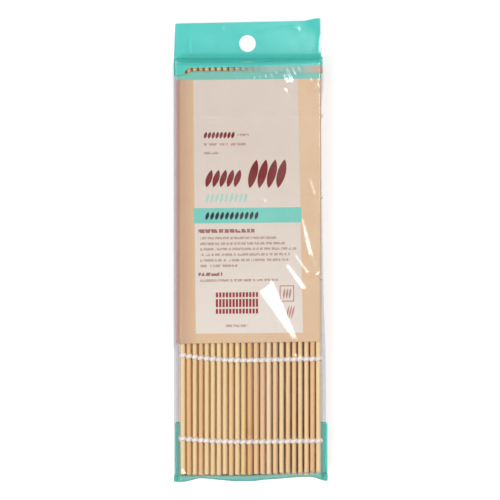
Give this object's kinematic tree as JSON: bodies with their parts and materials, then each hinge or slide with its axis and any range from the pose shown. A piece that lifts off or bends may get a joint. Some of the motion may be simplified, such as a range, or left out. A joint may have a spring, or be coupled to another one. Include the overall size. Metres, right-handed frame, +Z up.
{
  "type": "sushi rolling mat in a bag",
  "caption": "Bamboo rolling mat for sushi, round sticks twined with cotton cords, folded in three in a clear film bag with a hang-hole header.",
  "frame": {"origin": "under the middle of the bag, in the plane that it lies on", "axes": "+Z up out of the bag's front, +Y along the sticks towards the header, +X across the sticks to the right"},
  "size_m": [0.0916, 0.2742, 0.0129],
  "materials": {
    "bamboo": "smooth unvarnished bamboo",
    "cotton": "soft twisted cotton",
    "paper": "printed matt paper",
    "clear_film": "clear glossy film",
    "printed_film": "opaque printed film",
    "adhesive": "clear tacky strip"
  },
  "bodies": {
    "bag": {"bag_header": "printed_film", "bag_front_film": "clear_film", "bag_back_film": "clear_film", "bag_side_seams": "clear_film", "insert_sheet": "paper"},
    "flap": {"bag_flap": "printed_film", "flap_adhesive": "adhesive"},
    "back_panel": {"back_slats": "bamboo", "back_cords": "cotton"},
    "middle_panel": {"middle_slats": "bamboo", "middle_cords": "cotton", "fold_cords_right": "cotton", "fold_cords_left": "cotton"},
    "front_01": {"front_slat_01": "bamboo", "front_cords_01": "cotton", "front_slat_02": "bamboo", "front_cords_02": "cotton"},
    "front_02": {"front_slat_03": "bamboo", "front_cords_03": "cotton", "front_slat_04": "bamboo", "front_cords_04": "cotton", "front_slat_05": "bamboo", "front_cords_05": "cotton"},
    "front_03": {"front_slat_06": "bamboo", "front_cords_06": "cotton", "front_slat_07": "bamboo", "front_cords_07": "cotton", "front_slat_08": "bamboo", "front_cords_08": "cotton"},
    "front_04": {"front_slat_09": "bamboo", "front_cords_09": "cotton", "front_slat_10": "bamboo", "front_cords_10": "cotton", "front_slat_11": "bamboo", "front_cords_11": "cotton"},
    "front_05": {"front_slat_12": "bamboo", "front_cords_12": "cotton", "front_slat_13": "bamboo", "front_cords_13": "cotton", "front_slat_14": "bamboo", "front_cords_14": "cotton"},
    "front_06": {"front_slat_15": "bamboo", "front_cords_15": "cotton", "front_slat_16": "bamboo", "front_cords_16": "cotton", "front_slat_17": "bamboo", "front_cords_17": "cotton"},
    "front_07": {"front_slat_18": "bamboo", "front_cords_18": "cotton", "front_slat_19": "bamboo", "front_cords_19": "cotton", "front_slat_20": "bamboo", "front_cords_20": "cotton"},
    "front_08": {"front_slat_21": "bamboo", "front_cords_21": "cotton", "front_slat_22": "bamboo", "front_cords_22": "cotton", "front_slat_23": "bamboo", "front_cords_23": "cotton"}
  },
  "joints": [
    {"name": "flap_fold", "type": "hinge", "parent": "bag", "child": "flap", "pos_m": [0, -0.1371, 0.00015], "axis": [-1, 0, 0], "range_deg": [0, 180]},
    {"name": "mat_slide", "type": "slide", "parent": "bag", "child": "back_panel", "axis": [0, -1, 0], "range_m": [0, 0.275], "deforming": ["bag_front_film", "insert_sheet"]},
    {"name": "middle_fold", "type": "hinge", "parent": "back_panel", "child": "middle_panel", "pos_m": [0.04117, 0, 0.00449], "axis": [0, 1, 0], "range_deg": [0, 180], "deforming": ["fold_cords_right"]},
    {"name": "front_fold", "type": "hinge", "parent": "middle_panel", "child": "front_01", "pos_m": [-0.04117, 0, 0.00822], "axis": [0, -1, 0], "range_deg": [0, 180], "deforming": ["fold_cords_left"]},
    {"name": "roll_02", "type": "hinge", "parent": "front_01", "child": "front_02", "pos_m": [-0.03401, 0, 0.01009], "axis": [0, -1, 0], "range_deg": [0, 15]},
    {"name": "roll_03", "type": "hinge", "parent": "front_02", "child": "front_03", "pos_m": [-0.02327, 0, 0.01009], "axis": [0, -1, 0], "range_deg": [0, 15]},
    {"name": "roll_04", "type": "hinge", "parent": "front_03", "child": "front_04", "pos_m": [-0.01253, 0, 0.01009], "axis": [0, -1, 0], "range_deg": [0, 15]},
    {"name": "roll_05", "type": "hinge", "parent": "front_04", "child": "front_05", "pos_m": [-0.00179, 0, 0.01009], "axis": [0, -1, 0], "range_deg": [0, 15]},
    {"name": "roll_06", "type": "hinge", "parent": "front_05", "child": "front_06", "pos_m": [0.00895, 0, 0.01009], "axis": [0, -1, 0], "range_deg": [0, 15]},
    {"name": "roll_07", "type": "hinge", "parent": "front_06", "child": "front_07", "pos_m": [0.01969, 0, 0.01009], "axis": [0, -1, 0], "range_deg": [0, 15]},
    {"name": "roll_08", "type": "hinge", "parent": "front_07", "child": "front_08", "pos_m": [0.03043, 0, 0.01009], "axis": [0, -1, 0], "range_deg": [0, 15]}
  ],
  "couplings": [
    {"joint": "middle_fold", "follows": "mat_slide", "rad_per_m": 11.42},
    {"joint": "front_fold", "follows": "mat_slide", "rad_per_m": 11.42},
    {"joint": "roll_02", "follows": "mat_slide", "rad_per_m": 0.9519},
    {"joint": "roll_03", "follows": "mat_slide", "rad_per_m": 0.9519},
    {"joint": "roll_04", "follows": "mat_slide", "rad_per_m": 0.9519},
    {"joint": "roll_05", "follows": "mat_slide", "rad_per_m": 0.9519},
    {"joint": "roll_06", "follows": "mat_slide", "rad_per_m": 0.9519},
    {"joint": "roll_07", "follows": "mat_slide", "rad_per_m": 0.9519},
    {"joint": "roll_08", "follows": "mat_slide", "rad_per_m": 0.9519}
  ]
}
